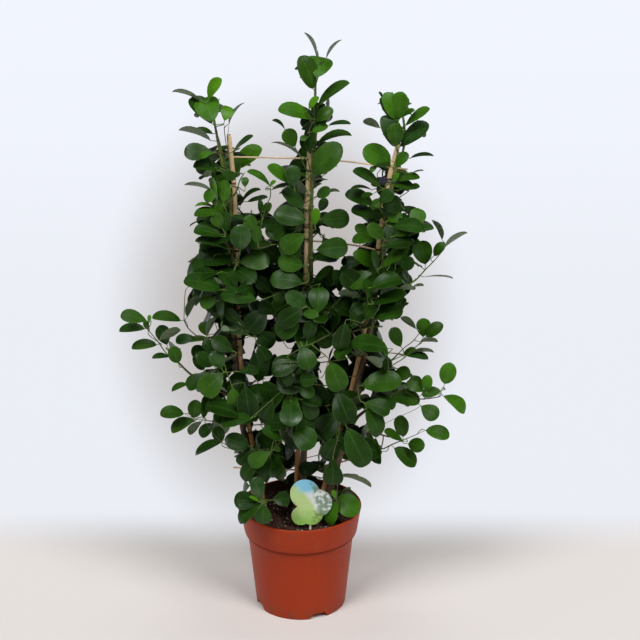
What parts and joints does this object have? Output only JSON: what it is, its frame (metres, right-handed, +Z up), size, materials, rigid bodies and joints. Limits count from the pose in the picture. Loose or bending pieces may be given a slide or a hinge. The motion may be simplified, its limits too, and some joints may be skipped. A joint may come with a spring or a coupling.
{
  "type": "potted ficus on a fan frame of bamboo canes",
  "caption": "Round-leaved ficus trained up a fan of bamboo canes with split crossbars, standing in a terracotta-coloured nursery pot with soil and a blank plant label.",
  "frame": {"origin": "middle of the pot's flat underside, on the surface that the pot stands on", "axes": "+Z up the plant; the fan of canes stands in the XZ plane with the left cane at -X, and the front with the label faces -Y"},
  "size_m": [0.586, 0.265, 0.998],
  "materials": {
    "pot_plastic": "satin",
    "potting_soil": "matte",
    "bamboo": "satin",
    "bark": "matte",
    "leaves": "satin",
    "label_card": "satin",
    "label_stick": "satin",
    "tie": "satin"
  },
  "bodies": {
    "root": {"pot": "pot_plastic", "soil": "potting_soil", "label_card": "label_card", "label_stick": "label_stick", "cane_left": "bamboo", "stem_left": "bark", "tie_left": "tie", "cane_centre": "bamboo", "stem_centre": "bark", "tie_centre": "tie", "cane_right": "bamboo", "stem_right": "bark", "tie_right": "tie", "crossbar_upper": "bamboo", "crossbar_middle": "bamboo", "crossbar_lower": "bamboo", "bough_left_high": "bark", "bough_left_low": "bark", "bough_right_high": "bark", "bough_right_middle": "bark", "bough_right_low": "bark", "bough_right_foot": "bark", "bough_rim_left": "bark", "bough_rim_right": "bark", "leaves_left_tip": "leaves", "leaves_left_high": "leaves", "leaves_left_upper": "leaves", "leaves_left_middle": "leaves", "leaves_centre_tip": "leaves", "leaves_centre_high": "leaves", "leaves_centre_upper": "leaves", "leaves_centre_middle": "leaves", "leaves_centre_belt": "leaves", "leaves_right_tip": "leaves", "leaves_right_high": "leaves", "leaves_right_upper": "leaves", "leaves_right_middle": "leaves", "leaves_lower_left": "leaves", "leaves_lower_centre": "leaves", "leaves_lower_right": "leaves", "leaves_low_left": "leaves", "leaves_low_centre": "leaves", "leaves_low_right": "leaves", "leaves_foot_left": "leaves", "leaves_foot_right": "leaves", "leaves_rim_left": "leaves", "leaves_rim_right": "leaves", "leaves_rim_back": "leaves", "leaves_spray_left_high": "leaves", "leaves_spray_left_low": "leaves", "leaves_spray_right_high": "leaves", "leaves_spray_right_middle": "leaves", "leaves_spray_right_low": "leaves", "leaves_spray_right_foot": "leaves"}
  },
  "joints": []
}
